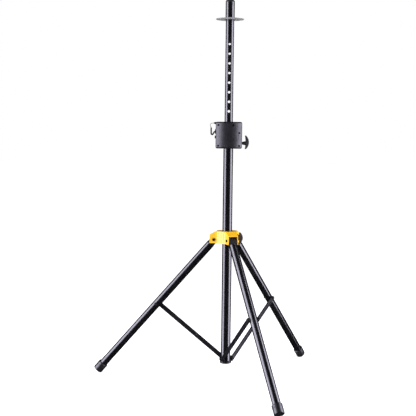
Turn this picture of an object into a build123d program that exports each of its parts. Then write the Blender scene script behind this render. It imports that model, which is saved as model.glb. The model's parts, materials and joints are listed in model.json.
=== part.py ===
from build123d import *
import math
import os

# Speaker tripod stand, millimetres. +Z is up along the mast, the floor is z = 0 under the rubber feet,
# and the origin is on the mast's axis. The three legs stand at the azimuths below, from +X towards +Y.
LEG_AZIMUTH = {"front": -69.0, "right": 51.0, "left": 171.0}
PARENT_LEG = "front"

# Mast tubes
LOWER_R = 20.5
LOWER_WALL = 1.5
LOWER_BOTTOM = 80.0
LOWER_TOP = 1048.0
UPPER_R = 17.5
UPPER_WALL = 1.6
UPPER_BOTTOM = 700.3
UPPER_TOP = 1599.0
LOCK_HOLE_R = 5.8
LOCK_HOLE_PITCH = 40.0
LOCK_HOLE_TOP = 1428.0
LOCK_HOLE_COUNT = 8
RUNNING_GAP = 0.1
BODY_GAP = 0.3

# Top adapter
SPIGOT_R = 19.0
SPIGOT_TOP = 1606.0
FLANGE_R = 59.0
FLANGE_THICK = 2.0
FLANGE_TOP = 1531.5

# Clutch at the top of the lower tube: housing, clamp and locking pin
HOUSE_LEFT = -54.0
HOUSE_RIGHT = 57.0
HOUSE_BOTTOM = 992.0
HOUSE_TOP = 1104.0
HOUSE_BULGE = 44.0
HOUSE_SIDE = 20.0
HOUSE_WALL = 3.0
COVER_SCREW_PLACES = ((-43.0, 1090.0), (-43.0, 1003.3), (45.0, 1003.3), (45.0, 1057.0))
GUIDE_SCREW_PLACE = (19.0, 1089.5)
GROOVE_X = 19.0
GROOVE_Z = 1043.5
GROOVE_R = 24.0
SEAM_HALF = 0.45
MARK_DEPTH = 1.1
SCREW_BOSS_R = 5.8
SCREW_HEAD_SEAT_R = 4.3
SCREW_SHANK_R = 1.8
GUIDE_SEAT_Y = -37.0
SCREW_SEAT_Y = -25.0
CLAMP_Z = 1015.0
CLAMP_SCREW_R = 5.0
COLLAR_R = 26.0
COLLAR_LOW = 998.0
COLLAR_HIGH = 1034.0
COLLAR_BLOCK_END = 39.0
SHOE_R = 7.0
SHOE_BACK = 23.5
SHOE_TRAVEL = 1.6
CLAMP_HANDLE_START = 69.0
CLAMP_HANDLE_SPAN = 57.0
PIN_Z = 1063.0
PIN_R = 4.0
PIN_TIP = -24.0
SOCKET_R = 7.9
SOCKET_TIP = -22.0
SOCKET_FACE = -57.0
ROD_R = 3.1
ROD_X = -73.3
ROD_TOP = 1079.0
ANCHOR_FACE = -60.5
ANCHOR_LOW = 1094.0
ANCHOR_HIGH = 1103.0
CORD_Z = 1098.5
CORD_R = 1.0

# Hub and legs
LEG_ANGLE = 41.0
LEG_R = 17.0
LEG_WALL = 1.5
PIVOT_RADIUS = 54.0
PIVOT_Z = 606.0
FOOT_R = 21.0
FOOT_LENGTH = 42.0
FOOT_ROUND = 4.0
KNUCKLE_HALF = 14.8
KNUCKLE_R = 15.0
KNUCKLE_LENGTH = 24.0
OPEN_PIVOT_HOLE_R = 10.8
HUB_TOP = 643.0
HUB_BOTTOM = 591.0
HUB_ARM_HALF = 21.8
HUB_CHANNEL_HALF = 19.0
HUB_CHANNEL_START = 30.0
HUB_MOUTH_TOP = 624.5
HUB_SHOULDER_START = 43.0
HUB_SHOULDER_DROP = 15.0
HUB_ARM_END = 73.0
HUB_WEB = 40.0
WEB_GROOVES = (-13.0, 0.0, 13.0)
HUB_BORE_R = 23.2
HUB_FLOAT = 4.6
HUB_SCREW_Z = 620.0
HUB_SHOE_R = 6.0
HUB_SHOE_FACE = 23.0
HUB_SHOE_BACK = 28.0
HUB_HANDLE_START = 50.5
HUB_HANDLE_SPAN = 47.0

# Struts and the bracket at the foot of the mast
STRUT_ALONG_LEG = 381.0
STRUT_SIDE = 21.7
STRUT_HEIGHT = 18.5
STRUT_THICK = 6.0
BRACKET_RADIUS = 20.0
BRACKET_Z = 95.0
BOLT_R = 4.0
LUG_DEPTH = 5.6

# Worked out: the leg's length to the floor, and the strut between its two bolts
LEAN = math.radians(LEG_ANGLE)
FOOT_END_Z = (FOOT_R - FOOT_ROUND) * math.sin(LEAN) + FOOT_ROUND * (1 - math.cos(LEAN))
LEG_LENGTH = (PIVOT_Z - FOOT_END_Z) / math.cos(LEAN)
JOINT_RADIUS = PIVOT_RADIUS + STRUT_ALONG_LEG * math.sin(LEAN)
JOINT_Z = PIVOT_Z - STRUT_ALONG_LEG * math.cos(LEAN)
STRUT_LENGTH = math.hypot(JOINT_RADIUS - BRACKET_RADIUS, JOINT_Z - BRACKET_Z)
STRUT_LEAN = math.degrees(math.atan2(JOINT_RADIUS - BRACKET_RADIUS, JOINT_Z - BRACKET_Z))
STRUT_INNER = STRUT_SIDE - STRUT_THICK / 2
STRUT_OUTER = STRUT_SIDE + STRUT_THICK / 2
LUG_FACE = STRUT_INNER - BODY_GAP
HUB_SCREW_TIP = HUB_SHOE_BACK + SHOE_TRAVEL + 0.4
ON_FLOOR = (Align.CENTER, Align.CENTER, Align.MIN)


def save(shape, name):
    shape.label = name
    export_step(shape, f"parts/{name}.step")


# Shapes used throughout ------------------------------------------------------------------------
def upright(radius, low, high, x=0.0, y=0.0):
    """A vertical cylinder from low to high."""
    return Pos(x, y, low) * Cylinder(radius, high - low, align=ON_FLOOR)


def ring(outer, inner, low, high):
    return upright(outer, low, high) - upright(inner, low, high)


def along_x(radius, start, end, z, y=0.0):
    return Pos(start, y, z) * Rot(0, 90, 0) * Cylinder(radius, end - start, align=ON_FLOOR)


def along_y(radius, start, end, x=0.0, z=0.0):
    return Pos(x, start, z) * Rot(-90, 0, 0) * Cylinder(radius, end - start, align=ON_FLOOR)


def span(low, high):
    """A box between two corners."""
    size = [b - a for a, b in zip(low, high)]
    middle = [(a + b) / 2 for a, b in zip(low, high)]
    return Pos(*middle) * Box(*size)


def oval(radius, low, high):
    """An upright oval prism, longer along X by the hub's float each way."""
    outline = SlotCenterToCenter(2 * HUB_FLOAT, 2 * radius)
    return Pos(0, 0, low) * extrude(outline, high - low)


def domed_head(radius, height):
    """A domed screw head with a hexagon socket, standing on z = 0."""
    head = Cylinder(radius, height, align=ON_FLOOR)
    head = fillet(head.edges().group_by(Axis.Z)[-1], height * 0.6)
    return head - Pos(0, 0, height * 0.5) * extrude(RegularPolygon(radius * 0.5, 6), height)


def hex_nut(radius, height, bore):
    """A hexagon nut with its corners turned off at the top, standing on z = 0."""
    round_blank = Cylinder(radius, height, align=ON_FLOOR)
    round_blank = chamfer(round_blank.edges().group_by(Axis.Z)[-1], 0.8, 1.2)
    nut = extrude(RegularPolygon(radius, 6), height) & round_blank
    return nut - Cylinder(bore, 3 * height)


def bolt_along_y(x, z, head_y, tip_y, head_r):
    """A bolt whose head bears on the plane y = head_y and whose tip is at tip_y, towards +Y."""
    shank = along_y(BOLT_R, head_y, tip_y, x, z)
    return shank + Pos(x, head_y, z) * Rot(90, 0, 0) * domed_head(head_r, 4.0)


def nut_along_y(x, z, face_y, radius=7.5, height=6.0):
    return Pos(x, face_y, z) * Rot(-90, 0, 0) * hex_nut(radius, height, BOLT_R)


def wing_handle(span_length, thickness, depth):
    """A crescent wing for a screw along X: its base is at x = 0, and its back bows out to the thickness."""
    half = span_length / 2
    tip = thickness * 0.3
    front = ThreePointArc((0, -half), (thickness * 0.18, 0), (0, half))
    back = ThreePointArc((tip, half), (thickness, 0), (tip, -half))
    face = make_face([front, Line((0, half), (tip, half)), back, Line((tip, -half), (0, -half))])
    wing = extrude(Plane.XZ * face, depth / 2, both=True)
    return fillet(wing.edges(), 1.4)


# Mast: lower tube, its foot and the strut bracket ----------------------------------------------
def lower_tube():
    tube = ring(LOWER_R, LOWER_R - LOWER_WALL, LOWER_BOTTOM, LOWER_TOP)
    slit = span((-1.5, 0, LOWER_TOP - 60), (1.5, LOWER_R + 1, LOWER_TOP + 1))
    return tube - along_x(SHOE_R + BODY_GAP, 0, LOWER_R + 1, CLAMP_Z) - slit


def lower_tube_bush():
    inner = UPPER_R + RUNNING_GAP
    bush = ring(LOWER_R - LOWER_WALL, inner, LOWER_TOP - 50, LOWER_TOP)
    bush += ring(LOWER_R, inner, LOWER_TOP, LOWER_TOP + 3)
    return bush - along_x(SHOE_R + BODY_GAP, 0, LOWER_R + 1, CLAMP_Z)


def mast_end_plug():
    """A rounded plastic foot below the bracket, with a hollow plug up inside the tube."""
    foot = upright(LOWER_R + 4, LOWER_BOTTOM - 7, LOWER_BOTTOM)
    foot = fillet(foot.edges().group_by(Axis.Z)[0], 3.5)
    plug_r = LOWER_R - LOWER_WALL
    plug = upright(plug_r, LOWER_BOTTOM, LOWER_BOTTOM + 22)
    return foot + plug - upright(plug_r - 2.5, LOWER_BOTTOM - 3, LOWER_BOTTOM + 30)


def strut_bracket():
    """A low collar round the foot of the mast, with one upright lug beside each strut's end."""
    reach = STRUT_HEIGHT / 2
    bracket = ring(LOWER_R + 3.5, LOWER_R, LOWER_BOTTOM, LOWER_BOTTOM + 5)
    block = span((8, -LUG_FACE, LOWER_BOTTOM), (BRACKET_RADIUS + reach, LUG_DEPTH - LUG_FACE, BRACKET_Z))
    nose = along_y(reach, -LUG_FACE, LUG_DEPTH - LUG_FACE, BRACKET_RADIUS, BRACKET_Z)
    hole = along_y(BOLT_R, -LUG_FACE - 1, LUG_DEPTH, BRACKET_RADIUS, BRACKET_Z)
    lug = block + nose - hole - upright(LOWER_R, LOWER_BOTTOM - 1, BRACKET_Z + 20)
    for azimuth in LEG_AZIMUTH.values():
        bracket += Rot(0, 0, azimuth) * lug
    return bracket


def bracket_bolts():
    """Three shouldered screws, one in each lug, that the struts turn on."""
    tip = LUG_DEPTH - LUG_FACE - 0.2
    bolt = bolt_along_y(BRACKET_RADIUS, BRACKET_Z, -STRUT_OUTER - BODY_GAP, tip, 7.0)
    return Compound([Rot(0, 0, azimuth) * bolt for azimuth in LEG_AZIMUTH.values()])


# Clutch ----------------------------------------------------------------------------------------
def housing_block(inset):
    """The housing's outer form, or its hollow when inset is the wall."""
    left = HOUSE_LEFT + inset
    right = HOUSE_RIGHT - inset
    bulge = HOUSE_BULGE - inset
    side = HOUSE_SIDE - inset * 0.5
    middle = (left + right) / 2
    front = ThreePointArc((left, -side), (middle, -bulge), (right, -side))
    back = ThreePointArc((right, side), (middle, bulge), (left, side))
    right_side = Line((right, -side), (right, side))
    left_side = Line((left, side), (left, -side))
    height = HOUSE_TOP - HOUSE_BOTTOM - 2 * inset
    block = extrude(make_face([front, right_side, back, left_side]), height)
    block = fillet(block.edges().filter_by(Axis.Z), 9.0 - inset)
    block = fillet(block.edges().group_by(Axis.Z)[-1], 6.5 - inset)
    block = fillet(block.edges().group_by(Axis.Z)[0], 6.5 - inset)
    return Pos(0, 0, HOUSE_BOTTOM + inset) * block


def lanyard_anchor():
    """The small block on the housing's upper left corner that holds the lanyard."""
    block = span((ANCHOR_FACE, -5, ANCHOR_LOW), (-50, 5, ANCHOR_HIGH))
    return fillet(block.edges().group_by(Axis.X)[0], 2.0)


def cover_marks():
    """Where the covers' surface is sunk: the seam between them, and a curved groove on the front."""
    groove = along_y(GROOVE_R + 1.3, -90, 0, GROOVE_X, GROOVE_Z) - along_y(GROOVE_R - 1.3, -91, 1, GROOVE_X, GROOVE_Z)
    groove &= span((GROOVE_X + 8, -90, GROOVE_Z - 30), (90, -10, GROOVE_Z + 8))
    return groove + span((-90, -SEAM_HALF, HOUSE_BOTTOM - 9), (90, SEAM_HALF, HOUSE_TOP + 9))


def housing():
    """Both covers as one: the shell with its bosses, its openings and the screws' seats."""
    outer = housing_block(0)
    shell = outer - housing_block(HOUSE_WALL)
    for x, z in COVER_SCREW_PLACES:
        shell += along_y(SCREW_BOSS_R, -HOUSE_BULGE, HOUSE_BULGE, x, z) & outer
    guide_x, guide_z = GUIDE_SCREW_PLACE
    shell += along_y(SCREW_BOSS_R, -HOUSE_BULGE, GUIDE_SEAT_Y + 9, guide_x, guide_z) & outer
    for x, z in COVER_SCREW_PLACES:
        shell -= along_y(SCREW_HEAD_SEAT_R, -HOUSE_BULGE - 1, SCREW_SEAT_Y, x, z)
        shell -= along_y(SCREW_SHANK_R, SCREW_SEAT_Y - 1, 12, x, z)
    shell -= along_y(SCREW_HEAD_SEAT_R, -HOUSE_BULGE - 1, GUIDE_SEAT_Y, guide_x, guide_z)
    shell -= along_y(SCREW_SHANK_R, GUIDE_SEAT_Y - 1, GUIDE_SEAT_Y + 10, guide_x, guide_z)
    shell -= cover_marks() & (outer - housing_block(MARK_DEPTH))
    shell -= upright(UPPER_R + 0.8, HOUSE_TOP - 10, HOUSE_TOP + 1)
    shell -= upright(LOWER_R, HOUSE_BOTTOM - 1, HOUSE_BOTTOM + 10)
    shell -= along_x(8.5, HOUSE_RIGHT - 12, HOUSE_RIGHT + 1, CLAMP_Z)
    shell -= along_x(SOCKET_R, HOUSE_LEFT - 1, HOUSE_LEFT + 12, PIN_Z)
    return shell - lanyard_anchor()


def clutch_front_cover(both):
    """The front moulding, with a small catch on its left flank."""
    cover = both & span((-90, -90, HOUSE_BOTTOM - 9), (90, 0, HOUSE_TOP + 9))
    catch = span((HOUSE_LEFT - 4, -9, 1034), (HOUSE_LEFT + 1, -3, 1046))
    return cover + catch


def clutch_rear_cover(both):
    return both & span((-90, 0, HOUSE_BOTTOM - 9), (90, 90, HOUSE_TOP + 9))


def cover_screw(x, z, seat, tip):
    shank = along_y(SCREW_SHANK_R, seat, tip, x, z)
    return shank + Pos(x, seat, z) * Rot(90, 0, 0) * domed_head(4.0, 2.4)


def cover_screws():
    screws = [cover_screw(x, z, SCREW_SEAT_Y, 11.5) for x, z in COVER_SCREW_PLACES]
    return Compound(screws + [cover_screw(*GUIDE_SCREW_PLACE, GUIDE_SEAT_Y, GUIDE_SEAT_Y + 8.6)])


def top_guide_bush():
    """Guides the upper tube where it leaves the housing."""
    inner_top = HOUSE_TOP - HOUSE_WALL
    return ring(24.0, UPPER_R + RUNNING_GAP, inner_top - 14, inner_top)


def clamp_collar():
    """A collar clamped on the lower tube, with a block for the clamp screw on its right."""
    collar = upright(COLLAR_R, COLLAR_LOW, COLLAR_HIGH)
    collar += span((0, -12, CLAMP_Z - 11), (COLLAR_BLOCK_END, 12, CLAMP_Z + 11))
    collar -= upright(LOWER_R, COLLAR_LOW - 1, COLLAR_HIGH + 1)
    collar -= span((-2, 0, COLLAR_LOW - 1), (2, COLLAR_R + 1, COLLAR_HIGH + 1))
    pocket_end = SHOE_BACK + SHOE_TRAVEL + 0.4
    collar -= along_x(SHOE_R + BODY_GAP, 0, pocket_end, CLAMP_Z)
    return collar - along_x(8.0, pocket_end, COLLAR_BLOCK_END + 1, CLAMP_Z)


def clamp_screw_insert():
    """The threaded brass bush in the collar's block."""
    start = SHOE_BACK + SHOE_TRAVEL + 0.4
    body = along_x(8.0, start, COLLAR_BLOCK_END, CLAMP_Z)
    return body - along_x(CLAMP_SCREW_R + RUNNING_GAP, start - 1, COLLAR_BLOCK_END + 1, CLAMP_Z)


def clamp_shoe():
    """The pad that the clamp screw presses on the upper tube, hollowed to the tube."""
    return along_x(SHOE_R, 12, SHOE_BACK, CLAMP_Z) - upright(UPPER_R + BODY_GAP, CLAMP_Z - 20, CLAMP_Z + 20)


def clamp_screw():
    return along_x(CLAMP_SCREW_R, SHOE_BACK + SHOE_TRAVEL + 0.8, CLAMP_HANDLE_START, CLAMP_Z)


def clamp_handle():
    """The crescent wing at the housing's right, with its tapered neck round the screw."""
    wing = Pos(CLAMP_HANDLE_START, 0, CLAMP_Z + 4) * wing_handle(CLAMP_HANDLE_SPAN, 17.5, 20.0)
    neck_start = HOUSE_RIGHT + 1.5
    neck = Cone(6.2, 9.5, CLAMP_HANDLE_START + 6 - neck_start, align=ON_FLOOR)
    handle = wing + Pos(neck_start, 0, CLAMP_Z) * Rot(0, 90, 0) * neck
    return handle - along_x(CLAMP_SCREW_R, neck_start - 1, CLAMP_HANDLE_START, CLAMP_Z)


# Locking pin and its lanyard --------------------------------------------------------------------
def pin_socket():
    sleeve = along_x(SOCKET_R, SOCKET_FACE + 3, SOCKET_TIP, PIN_Z)
    sleeve += along_x(10.0, SOCKET_FACE, HOUSE_LEFT, PIN_Z)
    return sleeve - along_x(PIN_R + RUNNING_GAP, SOCKET_FACE - 1, SOCKET_TIP + 1, PIN_Z)


def locking_pin():
    """A pin parked in its socket, with a bent rod for a handle: down, round a hook and up."""
    shank = along_x(PIN_R, SOCKET_FACE + 1, PIN_TIP, PIN_Z)
    shank = chamfer(shank.edges().group_by(Axis.X)[-1], 1.2)
    hook_z = PIN_Z - 12.5
    route = [
        (SOCKET_FACE + 12, 0, PIN_Z),
        (SOCKET_FACE - 2, 0, PIN_Z),
        (SOCKET_FACE - 9.5, 0, hook_z),
        (ROD_X + 1.3, 0, hook_z),
        (ROD_X, 0, hook_z + 5.5),
        (ROD_X, 0, ROD_TOP),
    ]
    path = FilletPolyline(*route, radius=[6.0, 4.0, 3.0, 10.0])
    rod = sweep(Plane(origin=path @ 0, z_dir=path % 0) * Circle(ROD_R), path)
    return shank + rod


def lanyard():
    """The short slack cord from the anchor to the top of the pin's rod."""
    route = [
        (ANCHOR_FACE, 0, CORD_Z),
        (ANCHOR_FACE - 9.5, 0, CORD_Z),
        (ANCHOR_FACE - 17.5, 0, CORD_Z - 5.0),
        (ROD_X - 3.6, 0, ROD_TOP + 7.5),
        (ROD_X, 0, ROD_TOP + 0.8),
    ]
    radii = cord_radii(route)
    path = FilletPolyline(*route, radius=radii)
    tube = sweep(Plane(origin=path @ 0, z_dir=path % 0) * Circle(CORD_R), path)
    section = math.pi * CORD_R**2
    print("lanyard radii", [round(r, 2) for r in radii], "length", round(path.length, 2))
    print("lanyard volume", round(tube.volume, 2), "section times length", round(section * path.length, 2))
    return tube


def cord_radii(route):
    """The largest arc each corner allows: 0.45 of its shorter run over the tangent of half the turn."""
    points = [Vector(*p) for p in route]
    radii = []
    for before, corner, after in zip(points, points[1:], points[2:]):
        run_in = corner - before
        run_out = after - corner
        half_turn = math.radians(run_in.get_angle(run_out) / 2)
        radii.append(0.45 * min(run_in.length, run_out.length) / math.tan(half_turn))
    return radii


# Mast: upper tube and top adapter ---------------------------------------------------------------
def upper_tube():
    tube = ring(UPPER_R, UPPER_R - UPPER_WALL, UPPER_BOTTOM, UPPER_TOP)
    for i in range(LOCK_HOLE_COUNT):
        tube -= along_y(LOCK_HOLE_R, -UPPER_R - 1, UPPER_R + 1, 0, LOCK_HOLE_TOP - i * LOCK_HOLE_PITCH)
    return tube


def guide_bush():
    """Slides in the lower tube and carries the upper tube, which turns on its plug."""
    low = UPPER_BOTTOM - BODY_GAP
    collar = upright(LOWER_R - LOWER_WALL - RUNNING_GAP, low - 16, low)
    plug = upright(UPPER_R - UPPER_WALL - RUNNING_GAP, low, low + 30)
    plug = chamfer(plug.edges().group_by(Axis.Z)[-1], 1.5)
    return collar + plug - upright(UPPER_R - UPPER_WALL - 3, low - 20, low + 40)


def support_flange():
    """The thin round plate that a loudspeaker rests on, fixed round the sleeve's lower end."""
    plate = upright(FLANGE_R, FLANGE_TOP - FLANGE_THICK, FLANGE_TOP)
    plate = fillet(plate.edges(), 0.8)
    return plate - upright(SPIGOT_R, FLANGE_TOP - 30, FLANGE_TOP + 1)


def adapter_sleeve():
    """Widens the upper tube's end to the larger socket size; its lower end sits in the plate."""
    located = ring(SPIGOT_R - BODY_GAP, UPPER_R, FLANGE_TOP - FLANGE_THICK, FLANGE_TOP)
    return located + ring(SPIGOT_R, UPPER_R, FLANGE_TOP, SPIGOT_TOP - 7)


def tube_top_cap():
    """A plastic cap on the tube's end, chamfered to lead into a socket."""
    cap = upright(SPIGOT_R, SPIGOT_TOP - 7, SPIGOT_TOP + 3)
    cap = chamfer(cap.edges().group_by(Axis.Z)[-1], 5.0, 3.0)
    plug = upright(UPPER_R - UPPER_WALL, SPIGOT_TOP - 25, SPIGOT_TOP - 7)
    return cap + plug - upright(UPPER_R - UPPER_WALL - 2.5, SPIGOT_TOP - 26, SPIGOT_TOP)


# Hub: built with its parent arm on +X, then turned to the parent leg's azimuth -------------------
def hub_turned(shape):
    return Rot(0, 0, LEG_AZIMUTH[PARENT_LEG]) * shape


def arm_end_cut():
    """What is cut off an arm: above its long sloping shoulder and beyond its near-vertical end."""
    shoulder_end = (HUB_ARM_END - 2, HUB_TOP - HUB_SHOULDER_DROP)
    points = [(HUB_SHOULDER_START, HUB_TOP), shoulder_end, (HUB_ARM_END, HUB_BOTTOM - 1)]
    points += [(HUB_ARM_END + 20, HUB_BOTTOM - 1), (HUB_ARM_END + 20, HUB_TOP + 5)]
    points += [(HUB_SHOULDER_START, HUB_TOP + 5)]
    outline = Plane.XZ * make_face(Polyline(*points, close=True))
    return extrude(outline, HUB_ARM_HALF + 6, both=True)


def leg_hub():
    arm = span((0, -HUB_ARM_HALF, HUB_BOTTOM), (HUB_ARM_END + 5, HUB_ARM_HALF, HUB_TOP))
    core = Pos(0, 0, HUB_BOTTOM) * extrude(RegularPolygon(2 * HUB_WEB, 3), HUB_TOP - HUB_BOTTOM)
    core &= upright(62.0, HUB_BOTTOM, HUB_TOP)
    hub = core
    for turn in (0, 120, 240):
        hub += Rot(0, 0, turn) * arm
    for turn in (0, 120, 240):
        hub -= Rot(0, 0, turn) * arm_end_cut()
    rims = hub.edges().group_by(Axis.Z)[-1]
    hub = fillet(rims, 2.5)
    half = HUB_CHANNEL_HALF
    channel = span((HUB_CHANNEL_START, -half, HUB_BOTTOM - 9), (90, half, HUB_MOUTH_TOP))
    channel += span((HUB_CHANNEL_START, -half, HUB_BOTTOM), (62, half, HUB_MOUTH_TOP + 3))
    channel += along_y(BOLT_R, -40, 40, PIVOT_RADIUS, PIVOT_Z)
    for turn in (0, 120, 240):
        hub -= Rot(0, 0, turn) * channel
    for turn in (180, 300):
        for side in WEB_GROOVES:
            groove = span((HUB_WEB - 0.7, side - 1.3, HUB_BOTTOM + 5), (HUB_WEB + 9, side + 1.3, HUB_TOP - 7))
            hub -= Rot(0, 0, turn) * groove
    boss = along_x(11.0, HUB_WEB - 3, HUB_WEB + 7, HUB_SCREW_Z)
    boss = fillet(boss.edges().group_by(Axis.X)[-1], 2.0)
    hub += Rot(0, 0, 60) * boss
    hub -= oval(HUB_BORE_R, HUB_BOTTOM - 1, HUB_TOP + 1)
    hub -= Rot(0, 0, 60) * along_x(CLAMP_SCREW_R + RUNNING_GAP, 10, 60, HUB_SCREW_Z)
    hub -= Rot(0, 0, 60) * along_x(HUB_SHOE_R + BODY_GAP, 10, HUB_SCREW_TIP - 0.2, HUB_SCREW_Z)
    return hub_turned(hub)


def hub_bush():
    """A plastic liner whose oval bore leaves the hub room to float as it slides on the mast."""
    top = HUB_TOP - 2
    bush = oval(HUB_BORE_R, HUB_BOTTOM, top) - oval(LOWER_R + 0.35, HUB_BOTTOM - 1, top + 1)
    return hub_turned(bush - Rot(0, 0, 60) * along_x(HUB_SHOE_R + BODY_GAP, 10, 40, HUB_SCREW_Z))


def hub_pivot_bolts():
    bolt = bolt_along_y(PIVOT_RADIUS, PIVOT_Z, -HUB_ARM_HALF, HUB_ARM_HALF + 6, 6.0)
    return hub_turned(Compound([Rot(0, 0, turn) * bolt for turn in (0, 120, 240)]))


def hub_pivot_nuts():
    nut = nut_along_y(PIVOT_RADIUS, PIVOT_Z, HUB_ARM_HALF, 6.5, 5.5)
    return hub_turned(Compound([Rot(0, 0, turn) * nut for turn in (0, 120, 240)]))


def hub_shoe():
    return hub_turned(Rot(0, 0, 60) * along_x(HUB_SHOE_R, HUB_SHOE_FACE, HUB_SHOE_BACK, HUB_SCREW_Z))


def hub_clamp_screw():
    return hub_turned(Rot(0, 0, 60) * along_x(CLAMP_SCREW_R, HUB_SCREW_TIP, HUB_HANDLE_START, HUB_SCREW_Z))


def hub_handle():
    wing = Pos(HUB_HANDLE_START, 0, HUB_SCREW_Z - 6) * wing_handle(HUB_HANDLE_SPAN, 16.0, 18.0)
    neck = along_x(8.0, HUB_WEB + 8, HUB_HANDLE_START + 5, HUB_SCREW_Z)
    handle = wing + neck - along_x(CLAMP_SCREW_R, HUB_WEB, HUB_HANDLE_START, HUB_SCREW_Z)
    return hub_turned(Rot(0, 0, 60) * handle)


# Legs and struts: built with the leg's plane on +X, then turned to each azimuth ------------------
def on_leg(shape, azimuth):
    """Takes a shape made along -Z from the leg's pivot to its place on the open leg."""
    return Rot(0, 0, azimuth) * Pos(PIVOT_RADIUS, 0, PIVOT_Z) * Rot(0, -LEG_ANGLE, 0) * shape


def leg_knuckle(bolt_hole):
    """The moulded end between the hub's cheeks: a tongue for the pivot bolt, a shoulder and a plug."""
    tongue = along_y(KNUCKLE_R, -KNUCKLE_HALF, KNUCKLE_HALF)
    tongue += span((-KNUCKLE_R, -KNUCKLE_HALF, -KNUCKLE_LENGTH), (KNUCKLE_R, KNUCKLE_HALF, 0))
    shoulder = upright(LEG_R, -KNUCKLE_LENGTH - 4, -KNUCKLE_LENGTH)
    plug = upright(LEG_R - LEG_WALL, -KNUCKLE_LENGTH - 34, -KNUCKLE_LENGTH - 4)
    return tongue + shoulder + plug - along_y(bolt_hole, -30, 30)


def leg_tube():
    tube = ring(LEG_R, LEG_R - LEG_WALL, 8 - LEG_LENGTH, -KNUCKLE_LENGTH - 4)
    return tube - along_y(BOLT_R, -30, 30, 0, -STRUT_ALONG_LEG)


def leg_foot():
    """A rubber boot over the end of the tube."""
    boot = upright(FOOT_R, -LEG_LENGTH, FOOT_LENGTH - LEG_LENGTH)
    boot = fillet(boot.edges().group_by(Axis.Z)[0], FOOT_ROUND)
    boot = fillet(boot.edges().group_by(Axis.Z)[-1], 2.5)
    return boot - upright(LEG_R, 8 - LEG_LENGTH, FOOT_LENGTH - LEG_LENGTH + 1)


def strut_bolt():
    return bolt_along_y(0, -STRUT_ALONG_LEG, -STRUT_OUTER - BODY_GAP, LEG_R + 8, 7.0)


def strut_nut():
    return nut_along_y(0, -STRUT_ALONG_LEG, LEG_R)


def strut_spacer():
    """A ring that holds the strut off the leg tube, hollowed to the tube."""
    spacer = along_y(9.0, -LUG_FACE, -LEG_R + 3, 0, -STRUT_ALONG_LEG)
    spacer -= upright(LEG_R, -STRUT_ALONG_LEG - 20, -STRUT_ALONG_LEG + 20)
    return spacer - along_y(BOLT_R, -30, 30, 0, -STRUT_ALONG_LEG)


def strut():
    """A flat bar with round ends, a long groove in its outer face and a bolt hole at each end."""
    reach = STRUT_HEIGHT / 2
    bar = span((-reach, -STRUT_OUTER, 0), (reach, -STRUT_INNER, STRUT_LENGTH))
    bar += along_y(reach, -STRUT_OUTER, -STRUT_INNER, 0, 0)
    bar += along_y(reach, -STRUT_OUTER, -STRUT_INNER, 0, STRUT_LENGTH)
    bar -= span((-3.5, -STRUT_OUTER - 1, 22), (3.5, 1.8 - STRUT_OUTER, STRUT_LENGTH - 22))
    for end in (0, STRUT_LENGTH):
        bar -= along_y(BOLT_R + RUNNING_GAP, -40, 0, 0, end)
    return Pos(BRACKET_RADIUS, 0, BRACKET_Z) * Rot(0, STRUT_LEAN, 0) * bar


# Every piece, written to its own file -------------------------------------------------------------
os.makedirs("parts", exist_ok=True)
print("leg length", round(LEG_LENGTH, 2), "strut", round(STRUT_LENGTH, 2), "lean", round(STRUT_LEAN, 2))
print("strut joint", round(JOINT_RADIUS, 2), round(JOINT_Z, 2))

save(lower_tube(), "lower_tube")
save(lower_tube_bush(), "lower_tube_bush")
save(mast_end_plug(), "mast_end_plug")
save(strut_bracket(), "strut_bracket")
save(bracket_bolts(), "bracket_bolts")

both_covers = housing()
save(clutch_front_cover(both_covers), "clutch_front_cover")
save(clutch_rear_cover(both_covers), "clutch_rear_cover")
save(cover_screws(), "cover_screws")
save(top_guide_bush(), "top_guide_bush")
save(clamp_collar(), "clamp_collar")
save(clamp_screw_insert(), "clamp_screw_insert")
save(clamp_shoe(), "clamp_shoe")
save(clamp_screw(), "clamp_screw")
save(clamp_handle(), "clamp_handle")
save(pin_socket(), "pin_socket")
save(locking_pin(), "locking_pin")
save(lanyard_anchor(), "lanyard_anchor")
save(lanyard(), "lanyard")

save(upper_tube(), "upper_tube")
save(guide_bush(), "guide_bush")
save(support_flange(), "support_flange")
save(adapter_sleeve(), "adapter_sleeve")
save(tube_top_cap(), "tube_top_cap")

save(leg_hub(), "leg_hub")
save(hub_bush(), "hub_bush")
save(hub_pivot_bolts(), "hub_pivot_bolts")
save(hub_pivot_nuts(), "hub_pivot_nuts")
save(hub_shoe(), "hub_shoe")
save(hub_clamp_screw(), "hub_clamp_screw")
save(hub_handle(), "hub_handle")

for leg, azimuth in LEG_AZIMUTH.items():
    bolt_hole = BOLT_R + RUNNING_GAP if leg == PARENT_LEG else OPEN_PIVOT_HOLE_R
    save(on_leg(leg_knuckle(bolt_hole), azimuth), f"{leg}_leg_knuckle")
    save(on_leg(leg_tube(), azimuth), f"{leg}_leg_tube")
    save(on_leg(leg_foot(), azimuth), f"{leg}_leg_foot")
    save(on_leg(strut_bolt(), azimuth), f"{leg}_strut_bolt")
    save(on_leg(strut_nut(), azimuth), f"{leg}_strut_nut")
    save(on_leg(strut_spacer(), azimuth), f"{leg}_strut_spacer")
    save(Rot(0, 0, azimuth) * strut(), f"{leg}_strut")
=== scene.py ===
import json
import math

import bmesh
import bpy
from mathutils import Matrix, Vector


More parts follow.
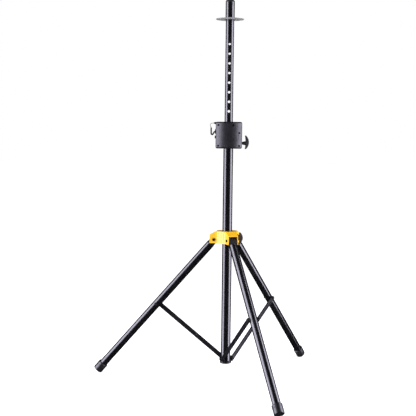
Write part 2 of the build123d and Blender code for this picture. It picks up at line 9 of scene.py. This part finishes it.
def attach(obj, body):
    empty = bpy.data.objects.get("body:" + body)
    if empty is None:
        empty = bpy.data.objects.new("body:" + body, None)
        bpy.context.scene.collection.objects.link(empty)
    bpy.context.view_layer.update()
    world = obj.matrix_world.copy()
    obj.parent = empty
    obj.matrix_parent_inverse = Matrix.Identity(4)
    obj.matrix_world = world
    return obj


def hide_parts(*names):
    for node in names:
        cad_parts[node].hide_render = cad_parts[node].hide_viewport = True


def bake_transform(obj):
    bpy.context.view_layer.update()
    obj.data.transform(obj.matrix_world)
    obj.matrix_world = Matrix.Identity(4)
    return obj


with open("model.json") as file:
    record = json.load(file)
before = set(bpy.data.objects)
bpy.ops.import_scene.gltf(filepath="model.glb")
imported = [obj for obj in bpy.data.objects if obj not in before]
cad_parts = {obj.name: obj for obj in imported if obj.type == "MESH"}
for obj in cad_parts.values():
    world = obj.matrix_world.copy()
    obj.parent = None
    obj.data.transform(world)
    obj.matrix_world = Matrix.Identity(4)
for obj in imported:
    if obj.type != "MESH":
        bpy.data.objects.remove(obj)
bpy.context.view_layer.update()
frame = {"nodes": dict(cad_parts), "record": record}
nodes = frame["nodes"]
LEGS = ("front", "left", "right")


# Camera: the photograph's viewpoint, level with the clutch and looking slightly down ------------
def camera():
    yaw, pitch, roll = -0.0216, 0.0789, 0.0118
    level = Vector((math.sin(yaw), math.cos(yaw), 0))
    right = Vector((math.cos(yaw), -math.sin(yaw), 0))
    up = Vector((0, 0, math.cos(pitch))) + level * math.sin(pitch)
    ahead = level * math.cos(pitch) - Vector((0, 0, math.sin(pitch)))
    side = right * math.cos(roll) + up * math.sin(roll)
    top = up * math.cos(roll) - right * math.sin(roll)
    data = bpy.data.cameras.new("camera")
    data.sensor_width = 36.0
    data.lens = 79.93
    data.shift_x = 0.0009
    data.clip_start, data.clip_end = 0.1, 60.0
    cam = bpy.data.objects.new("camera", data)
    bpy.context.scene.collection.objects.link(cam)
    turn = Matrix((side, top, -ahead)).transposed().to_4x4()
    cam.matrix_world = Matrix.Translation((0, -3.905, 1.048)) @ turn
    bpy.context.scene.camera = cam


# Materials ------------------------------------------------------------------------------------
def add(tree, kind, **sockets):
    node = tree.nodes.new("ShaderNode" + kind)
    for name, value in sockets.items():
        if name == "operation":
            setattr(node, name, value)
        else:
            node.inputs[name.replace("_", " ")].default_value = value
    return node


def noise(tree, coords, scale, detail=2.0, stretch=(1, 1, 1)):
    """A noise value, scale in features per metre; stretch squeezes it along an axis."""
    mapping = tree.nodes.new("ShaderNodeMapping")
    mapping.inputs["Scale"].default_value = [scale * s for s in stretch]
    tree.links.new(coords, mapping.inputs["Vector"])
    texture = tree.nodes.new("ShaderNodeTexNoise")
    texture.inputs["Scale"].default_value = 1.0
    texture.inputs["Detail"].default_value = detail
    tree.links.new(mapping.outputs[0], texture.inputs["Vector"])
    return texture.outputs["Fac"]


def spread(tree, value, low, high, to_low=0.0, to_high=1.0):
    """Takes value from low..high to to_low..to_high, held at both ends."""
    node = tree.nodes.new("ShaderNodeMapRange")
    for name, number in zip(("From Min", "From Max", "To Min", "To Max"), (low, high, to_low, to_high)):
        node.inputs[name].default_value = number
    tree.links.new(value, node.inputs["Value"])
    return node.outputs[0]


def blend_colours(tree, factor, first, second):
    """A colour between first and second, each a colour or another node's output."""
    node = tree.nodes.new("ShaderNodeMix")
    node.data_type = "RGBA"
    tree.links.new(factor, node.inputs[0])
    for socket, colour in ((node.inputs[6], first), (node.inputs[7], second)):
        if isinstance(colour, tuple):
            socket.default_value = (*colour, 1.0)
        else:
            tree.links.new(colour, socket)
    return node.outputs[2]


def finish_material(
    name, dark, light, rough, grain, relief, metallic=0.0, specular=0.5, coat=0.0, coat_rough=0.2,
    scratch=None, scratch_amount=0.0, along=(1, 1, 0.03), dust=0.0,
):
    """A surface whose colour and roughness drift, with a fine grain, directional scratches and floor dust.
    rough is (lowest, highest), grain is the grain's size in metres and relief its height in metres."""
    material = bpy.data.materials.new(name)
    material.use_nodes = True
    tree = material.node_tree
    shader = tree.nodes["Principled BSDF"]
    shader.inputs["Metallic"].default_value = metallic
    shader.inputs["Specular IOR Level"].default_value = specular
    shader.inputs["Coat Weight"].default_value = coat
    shader.inputs["Coat Roughness"].default_value = coat_rough
    coords = tree.nodes.new("ShaderNodeTexCoord").outputs["Object"]
    patches = noise(tree, coords, 14.0, 4.0)
    colour = blend_colours(tree, spread(tree, patches, 0.35, 0.68), dark, light)
    roughness = spread(tree, noise(tree, coords, 45.0, 5.0), 0.3, 0.7, *rough)
    if scratch:
        lines = noise(tree, coords, 900.0, 1.0, along)
        worn = noise(tree, coords, 22.0, 3.0)
        both = tree.nodes.new("ShaderNodeMath")
        both.operation = "MULTIPLY"
        tree.links.new(spread(tree, lines, 0.62, 0.72, 0.0, scratch_amount), both.inputs[0])
        tree.links.new(spread(tree, worn, 0.45, 0.62), both.inputs[1])
        colour = blend_colours(tree, both.outputs[0], colour, scratch)
    if dust:
        height = tree.nodes.new("ShaderNodeSeparateXYZ")
        tree.links.new(coords, height.inputs[0])
        near_floor = spread(tree, height.outputs["Z"], 0.0, 0.09, dust, 0.0)
        patchy = tree.nodes.new("ShaderNodeMath")
        patchy.operation = "MULTIPLY"
        tree.links.new(near_floor, patchy.inputs[0])
        tree.links.new(noise(tree, coords, 130.0, 4.0), patchy.inputs[1])
        colour = blend_colours(tree, patchy.outputs[0], colour, (0.33, 0.31, 0.28))
    tree.links.new(colour, shader.inputs["Base Color"])
    tree.links.new(roughness, shader.inputs["Roughness"])
    bump = tree.nodes.new("ShaderNodeBump")
    bump.inputs["Strength"].default_value = 1.0
    bump.inputs["Distance"].default_value = relief
    tree.links.new(noise(tree, coords, 1.0 / grain, 2.0), bump.inputs["Height"])
    tree.links.new(bump.outputs[0], shader.inputs["Normal"])
    return material


def matt_rims(material, specular):
    """Makes the rounded upper and lower rims mirror little, as their moulded grain is coarser."""
    tree = material.node_tree
    parts = tree.nodes.new("ShaderNodeSeparateXYZ")
    tree.links.new(tree.nodes.new("ShaderNodeTexCoord").outputs["Normal"], parts.inputs[0])
    size = add(tree, "Math", operation="ABSOLUTE")
    tree.links.new(parts.outputs["Z"], size.inputs[0])
    held = spread(tree, size.outputs[0], 0.12, 0.30, specular, 0.03)
    tree.links.new(held, tree.nodes["Principled BSDF"].inputs["Specular IOR Level"])


STEEL_BARE = (0.32, 0.31, 0.30)
tube_paint = finish_material(
    "tube_paint", (0.0020, 0.0020, 0.0026), (0.0045, 0.0045, 0.0055), (0.21, 0.24), 0.0015, 0.0000015,
    specular=0.95, coat=0.3, coat_rough=0.14, scratch=STEEL_BARE, scratch_amount=0.05)
leg_paint = finish_material(
    "leg_paint", (0.0020, 0.0020, 0.0026), (0.0050, 0.0050, 0.0060), (0.22, 0.25), 0.0015, 0.0000015,
    specular=0.95, coat=0.3, coat_rough=0.15, scratch=STEEL_BARE, scratch_amount=0.05, along=(1, 1, 0.2))
strut_paint = finish_material(
    "strut_paint", (0.004, 0.004, 0.005), (0.009, 0.009, 0.010), (0.36, 0.46), 0.0008, 0.000006,
    specular=0.4, scratch=STEEL_BARE, scratch_amount=0.25, along=(0.3, 0.3, 0.3))
# Light grey base colour for the flange disc: partly the disc's own grey finish, partly painted reflection of
# the pale room, which the dark glossy world does not mirror.
flange_grey_and_painted_reflection = finish_material(
    "flange_grey_and_painted_reflection", (0.20, 0.20, 0.19), (0.28, 0.28, 0.27), (0.32, 0.42), 0.0009, 0.000004,
    specular=0.6, coat=0.2, scratch=STEEL_BARE, scratch_amount=0.5, along=(0.15, 0.15, 1))
hub_paint = finish_material(
    "hub_paint", (0.80, 0.43, 0.001), (0.86, 0.49, 0.003), (0.28, 0.38), 0.0009, 0.000008,
    specular=0.6, coat=0.3, coat_rough=0.18, scratch=(0.42, 0.36, 0.24), scratch_amount=0.35,
    along=(0.4, 0.4, 0.1))
housing_plastic = finish_material(
    "housing_plastic", (0.005, 0.005, 0.007), (0.010, 0.0095, 0.013), (0.40, 0.48), 0.0006, 0.00001,
    specular=0.85, scratch=(0.06, 0.06, 0.065), scratch_amount=0.5, along=(0.2, 0.2, 0.2))
matt_rims(housing_plastic, 0.85)
handle_plastic = finish_material(
    "handle_plastic", (0.022, 0.020, 0.027), (0.032, 0.030, 0.040), (0.50, 0.60), 0.0006, 0.00001,
    specular=0.55, scratch=(0.07, 0.07, 0.075), scratch_amount=0.5, along=(0.3, 0.3, 0.3))
knuckle_plastic = finish_material(
    "knuckle_plastic", (0.004, 0.004, 0.005), (0.009, 0.009, 0.010), (0.38, 0.52), 0.0007, 0.00001)
bush_plastic = finish_material(
    "bush_plastic", (0.020, 0.020, 0.021), (0.032, 0.032, 0.034), (0.45, 0.6), 0.0009, 0.00003)
foot_rubber = finish_material(
    "foot_rubber", (0.003, 0.003, 0.0035), (0.007, 0.007, 0.008), (0.30, 0.36), 0.0012, 0.000008,
    specular=0.9, scratch=(0.10, 0.10, 0.10), scratch_amount=0.15, along=(0.3, 0.3, 0.3), dust=0.04)
black_steel = finish_material(
    "black_steel", (0.004, 0.004, 0.0045), (0.012, 0.012, 0.013), (0.30, 0.46), 0.0004, 0.000004,
    specular=0.35, scratch=(0.30, 0.29, 0.28), scratch_amount=0.3, along=(0.5, 0.5, 0.5))
pin_steel = finish_material(
    "pin_steel", (0.002, 0.002, 0.003), (0.006, 0.006, 0.007), (0.42, 0.52), 0.0005, 0.000004,
    specular=0.18, scratch=(0.20, 0.20, 0.19), scratch_amount=0.25, along=(0.1, 1, 1))
cord_weave = finish_material(
    "cord_weave", (0.02, 0.02, 0.023), (0.06, 0.06, 0.065), (0.7, 0.9), 0.0003, 0.00004, specular=0.15)
brass = finish_material(
    "brass", (0.55, 0.36, 0.12), (0.66, 0.46, 0.18), (0.22, 0.34), 0.0004, 0.00001, metallic=1.0)

FINISHES = {
    "black_tube": tube_paint,
    "grey_flange": flange_grey_and_painted_reflection,
    "yellow_hub": hub_paint,
    "black_housing": housing_plastic,
    "black_handle": handle_plastic,
    "bush_plastic": bush_plastic,
    "fastener_steel": black_steel,
    "pin_steel": pin_steel,
    "insert_brass": brass,
    "foot_rubber": foot_rubber,
}
OWN_FINISH = {"strut_bracket": strut_paint}
for leg in LEGS:
    OWN_FINISH[f"{leg}_strut"] = strut_paint
    OWN_FINISH[f"{leg}_leg_tube"] = leg_paint
    OWN_FINISH[f"{leg}_leg_knuckle"] = knuckle_plastic


def dress_nodes():
    """Gives every CAD node its finish, and smooth shading that stops at its edges."""
    for part in frame["record"]["subparts"]:
        node = nodes[part["node"]]
        finish = OWN_FINISH.get(part["node"]) or FINISHES.get(part["material_slot"])
        if finish is None:
            continue
        node.data.materials.clear()
        node.data.materials.append(finish)
        normals = node.data.attributes.get("custom_normal")
        if normals:
            node.data.attributes.remove(normals)
        for face in node.data.polygons:
            face.use_smooth = True
            face.material_index = 0
        weld = node.modifiers.new("weld", "WELD")
        weld.merge_threshold = 1e-6
        split = node.modifiers.new("edges", "EDGE_SPLIT")
        split.split_angle = math.radians(32)


# Pieces made here -----------------------------------------------------------------------------
LEG_AZIMUTH = {"front": -69.0, "right": 51.0, "left": 171.0}
LEG_LEAN = math.radians(41.0)
LEG_LENGTH = 0.78688
PIVOT = Vector((0.054, 0, 0.606))


def new_object(name, mesh, body, finish):
    piece = bpy.data.objects.new(name, mesh)
    bpy.context.scene.collection.objects.link(piece)
    mesh.materials.append(finish)
    for face in mesh.polygons:
        face.use_smooth = True
    if body:
        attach(piece, body)
    return piece


def turned(profile, steps=64):
    """A closed ring of revolution about Z from a closed profile of (radius, height) points."""
    bm = bmesh.new()
    rings = []
    for k in range(steps):
        angle = 2 * math.pi * k / steps
        rings.append([bm.verts.new((r * math.cos(angle), r * math.sin(angle), z)) for r, z in profile])
    count = len(profile)
    for k in range(steps):
        here, there = rings[k], rings[(k + 1) % steps]
        for i in range(count):
            bm.faces.new((here[i], there[i], there[(i + 1) % count], here[(i + 1) % count]))
    bmesh.ops.recalc_face_normals(bm, faces=bm.faces)
    mesh = bpy.data.meshes.new("turned")
    bm.to_mesh(mesh)
    bm.free()
    return mesh


def bead(radius, height, rise, half):
    """The profile of a rounded bead that stands rise proud of radius, sunk a little into what it is on."""
    turns = [math.pi * t / 8 for t in range(9)]
    crown = [(radius + rise * math.sin(a), height - half * math.cos(a)) for a in turns]
    return crown + [(radius - 0.0006, height + half), (radius - 0.0006, height - half)]


def foot_beads():
    """A rolled lip and two grip beads round each rubber foot."""
    for leg in LEGS:
        azimuth = math.radians(LEG_AZIMUTH[leg])
        place = (
            Matrix.Rotation(azimuth, 4, "Z") @ Matrix.Translation(PIVOT) @ Matrix.Rotation(-LEG_LEAN, 4, "Y")
        )
        for k, (height, rise) in enumerate(((0.0385, 0.0007), (0.0300, 0.0004), (0.0265, 0.0004))):
            mesh = turned(bead(0.021, height - LEG_LENGTH, rise, 0.0015))
            mesh.transform(place)
            new_object(f"{leg}_foot_bead_{k + 1}", mesh, f"{leg}_leg", foot_rubber)


def tube_along(points, radius_at, steps=20):
    """A closed tube mesh along points, its radius given by radius_at(distance, angle)."""
    bm = bmesh.new()
    rings = []
    across = Vector((0, 1, 0))
    travelled = 0.0
    for i, point in enumerate(points):
        ahead = (points[min(i + 1, len(points) - 1)] - points[max(i - 1, 0)]).normalized()
        across = (across - ahead * across.dot(ahead)).normalized()
        other = ahead.cross(across)
        if i:
            travelled += (point - points[i - 1]).length
        ring = []
        for k in range(steps):
            angle = 2 * math.pi * k / steps
            out = across * math.cos(angle) + other * math.sin(angle)
            ring.append(bm.verts.new(point + out * radius_at(travelled, angle)))
        rings.append(ring)
    for here, there in zip(rings, rings[1:]):
        for k in range(steps):
            n = (k + 1) % steps
            bm.faces.new((here[k], here[n], there[n], there[k]))
    bm.faces.new(rings[0])
    bm.faces.new(rings[-1])
    bmesh.ops.recalc_face_normals(bm, faces=bm.faces)
    mesh = bpy.data.meshes.new("tube")
    bm.to_mesh(mesh)
    bm.free()
    return mesh


CORD_ROUTE = (
    (-0.0605, 0, 1.0985), (-0.0700, 0, 1.0985), (-0.0780, 0, 1.0935),
    (-0.0769, 0, 1.0865), (-0.0733, 0, 1.0798),
)
CORD_RADIUS = 0.001


def nurbs_points(route):
    curve = bpy.data.curves.new("route", "CURVE")
    curve.dimensions = "3D"
    spline = curve.splines.new("NURBS")
    spline.points.add(len(route) - 1)
    for point, place in zip(spline.points, route):
        point.co = (*place, 1.0)
    spline.order_u = 3
    spline.use_endpoint_u = True
    spline.resolution_u = 24
    holder = bpy.data.objects.new("route", curve)
    bpy.context.scene.collection.objects.link(holder)
    mesh = bpy.data.meshes.new_from_object(holder)
    points = [v.co.copy() for v in mesh.vertices]
    bpy.data.objects.remove(holder)
    return points


def lanyard():
    points = nurbs_points(CORD_ROUTE)

    def strands(travelled, angle):
        return CORD_RADIUS * (0.94 + 0.06 * math.cos(3 * (angle - travelled * 900)))

    piece = new_object("lanyard_cord", tube_along(points, strands, 36), None, cord_weave)
    for name, body, here, beyond in (
        ("lanyard_ferrule_anchor", "mast", points[0], points[6]),
        ("lanyard_ferrule_pin", "locking_pin", points[-1], points[-7]),
    ):
        ahead = (beyond - here).normalized()
        inner, outer = 0.0009, 0.0018
        lower = [(inner, -0.0004), (outer - 0.0002, -0.0004), (outer, 0.0004)]
        upper = [(outer, 0.0022), (outer - 0.0003, 0.0030), (inner, 0.0030)]
        mesh = turned(lower + upper, 32)
        mesh.transform(Matrix.Translation(here) @ ahead.to_track_quat("Z", "Y").to_matrix().to_4x4())
        new_object(name, mesh, body, black_steel)
    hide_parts("lanyard")
    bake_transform(piece)


# Stage and light ------------------------------------------------------------------------------
def stage():
    mesh = bpy.data.meshes.new("floor")
    reach = 30.0
    corners = [(-reach, -reach, 0), (reach, -reach, 0), (reach, reach, 0), (-reach, reach, 0)]
    mesh.from_pydata(corners, [], [(0, 1, 2, 3)])
    floor = bpy.data.objects.new("floor", mesh)
    bpy.context.scene.collection.objects.link(floor)
    material = bpy.data.materials.new("floor")
    material.use_nodes = True
    shader = material.node_tree.nodes["Principled BSDF"]
    shader.inputs["Base Color"].default_value = (0.92, 0.92, 0.92, 1)
    shader.inputs["Roughness"].default_value = 0.9
    shader.inputs["Specular IOR Level"].default_value = 0.1
    shader.inputs["Emission Color"].default_value = (1, 1, 1, 1)
    shader.inputs["Emission Strength"].default_value = 0.52
    mesh.materials.append(material)
    floor.location.z = -0.0005
    floor.visible_glossy = False


def area_light(name, place, aim, width, height, power, colour=(1, 1, 1)):
    data = bpy.data.lights.new(name, "AREA")
    data.shape = "RECTANGLE"
    data.size, data.size_y = width, height
    data.energy = power
    data.color = colour
    light = bpy.data.objects.new(name, data)
    light.location = place
    light.rotation_euler = (Vector(aim) - Vector(place)).to_track_quat("-Z", "Y").to_euler()
    light.visible_camera = False
    bpy.context.scene.collection.objects.link(light)


def lights():
    """Two tall softboxes, one at each side, and an even pale room that glossy surfaces hardly mirror."""
    lavender = (0.86, 0.84, 1.0)
    for name, side, angle in (("box_left", -1, 76), ("box_right", 1, 80)):
        turn = math.radians(angle)
        place = (side * 2.2 * math.sin(turn), -2.2 * math.cos(turn), 1.15)
        area_light(name, place, (0, 0, 1.15), 1.6, 3.8, 118.0, lavender)
    world = bpy.data.worlds.new("studio")
    bpy.context.scene.world = world
    world.use_nodes = True
    tree = world.node_tree
    tree.nodes.clear()
    backdrop = add(tree, "Background", Color=(1, 1, 1, 1), Strength=1.0)
    room = add(tree, "Background", Color=(1, 1, 1, 1), Strength=0.6)
    mirrored = add(tree, "Background", Color=(0.95, 0.95, 1, 1), Strength=0.012)
    seen = tree.nodes.new("ShaderNodeLightPath")
    lit = tree.nodes.new("ShaderNodeMixShader")
    mix = tree.nodes.new("ShaderNodeMixShader")
    out = tree.nodes.new("ShaderNodeOutputWorld")
    tree.links.new(seen.outputs["Is Glossy Ray"], lit.inputs[0])
    tree.links.new(room.outputs[0], lit.inputs[1])
    tree.links.new(mirrored.outputs[0], lit.inputs[2])
    tree.links.new(seen.outputs["Is Camera Ray"], mix.inputs[0])
    tree.links.new(lit.outputs[0], mix.inputs[1])
    tree.links.new(backdrop.outputs[0], mix.inputs[2])
    tree.links.new(mix.outputs[0], out.inputs["Surface"])
    bpy.context.scene.view_settings.view_transform = "Standard"
    bpy.context.scene.view_settings.look = "None"


camera()
lanyard()
dress_nodes()
foot_beads()
stage()
lights()
